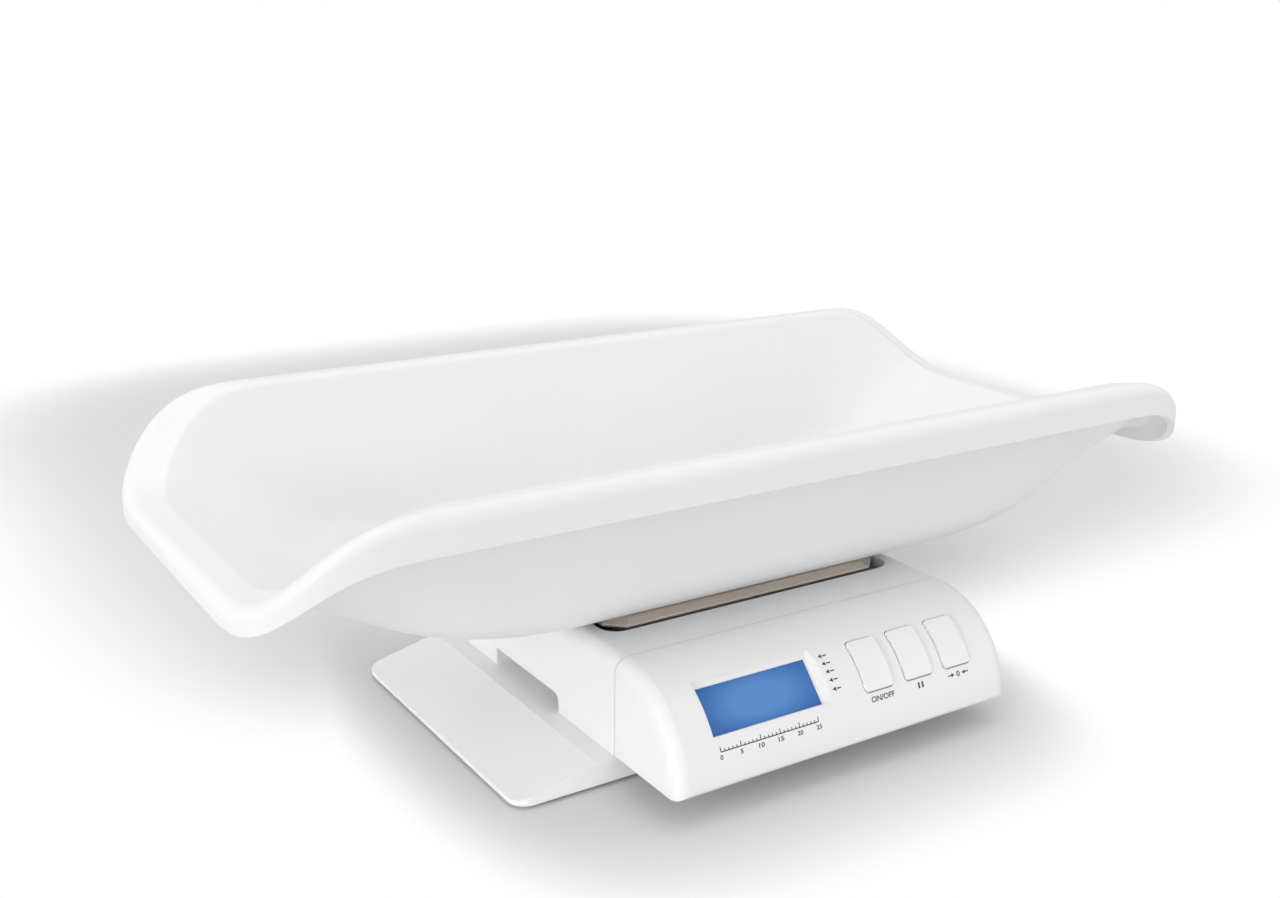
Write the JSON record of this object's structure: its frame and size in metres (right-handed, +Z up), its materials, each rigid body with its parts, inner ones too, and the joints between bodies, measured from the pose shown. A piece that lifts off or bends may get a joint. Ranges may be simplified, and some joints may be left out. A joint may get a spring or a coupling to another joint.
{
  "type": "digital baby scale",
  "caption": "White digital baby scale: a long curved tray with a rolled lip on a low weighing base with a metal platform, a curved console with display and buttons, and a flat plinth.",
  "frame": {"origin": "centre of the footprint at floor level", "axes": "+X along the tray, to the right of a user at the console; +Y away from the user; +Z up"},
  "size_m": [0.6, 0.3045, 0.1766],
  "materials": {
    "white_abs": "satin moulded white plastic",
    "tray_white": "smooth moulded white plastic",
    "button_white": "satin moulded white plastic",
    "grey_abs": "fine texture",
    "rubber": "matte",
    "screw_steel": "zinc plated",
    "plate_steel": "galvanised sheet",
    "alloy": "machined",
    "cast_alloy": "as cast",
    "pan_metal": "satin stainless sheet, warm tone",
    "lead_sheath": "smooth sheath",
    "lens_blue": "clear window over a blue backlit display",
    "lcd_glass": "display glass",
    "ivory_plastic": "moulded",
    "board": "solder resist",
    "dark_plastic": "moulded",
    "battery_jacket": "printed film jacket, left plain",
    "contact_spring": "nickel plated"
  },
  "bodies": {
    "base": {"plinth": "white_abs", "plinth_feet": "rubber", "plinth_screws": "screw_steel", "base_shell": "grey_abs", "scale_feet": "rubber", "top_housing": "white_abs", "housing_screws": "screw_steel", "cell_plate": "plate_steel", "plate_screws": "screw_steel", "cell_block": "alloy", "load_cell": "alloy", "cell_screws": "screw_steel", "stop_screws": "screw_steel", "cell_lead": "lead_sheath", "console_shell": "white_abs", "console_bottom": "grey_abs", "console_screws": "screw_steel", "bottom_screws": "screw_steel", "display_lens": "lens_blue", "lcd_panel": "lcd_glass", "lcd_holder": "ivory_plastic", "main_board": "board", "board_screws": "screw_steel", "tact_switches": "dark_plastic", "battery_leads": "lead_sheath", "batteries": "battery_jacket", "battery_contacts": "contact_spring", "power_inlet": "dark_plastic"},
    "platform": {"platform_carrier": "cast_alloy", "carrier_block": "alloy", "carrier_screws": "screw_steel", "pan_pads": "rubber", "platform_pan": "pan_metal"},
    "tray": {"baby_tray": "tray_white", "tray_pads": "rubber"},
    "power_button": {"power_button": "button_white"},
    "hold_button": {"hold_button": "button_white"},
    "tare_button": {"tare_button": "button_white"},
    "battery_door": {"battery_door": "grey_abs"}
  },
  "joints": [
    {"name": "platform_deflection", "type": "slide", "parent": "base", "child": "platform", "axis": [0, 0, -1], "range_m": [0, 0.001], "stiffness_N_per_m": 200000, "springref_m": -0.00012, "deforming": ["load_cell"]},
    {"name": "tray_lift_off", "type": "slide", "parent": "platform", "child": "tray", "axis": [0, 0, 1], "range_m": [0, 0.12]},
    {"name": "power_press", "type": "slide", "parent": "base", "child": "power_button", "axis": [0, 0.7314, -0.682], "range_m": [0, 0.0008], "stiffness_N_per_m": 1500},
    {"name": "hold_press", "type": "slide", "parent": "base", "child": "hold_button", "axis": [0, 0.7314, -0.682], "range_m": [0, 0.0008], "stiffness_N_per_m": 1500},
    {"name": "tare_press", "type": "slide", "parent": "base", "child": "tare_button", "axis": [0, 0.7314, -0.682], "range_m": [0, 0.0008], "stiffness_N_per_m": 1500},
    {"name": "battery_door_hinge", "type": "hinge", "parent": "base", "child": "battery_door", "pos_m": [0, -0.1014, 0.0157], "axis": [1, 0, 0], "range_deg": [0, 18]}
  ]
}
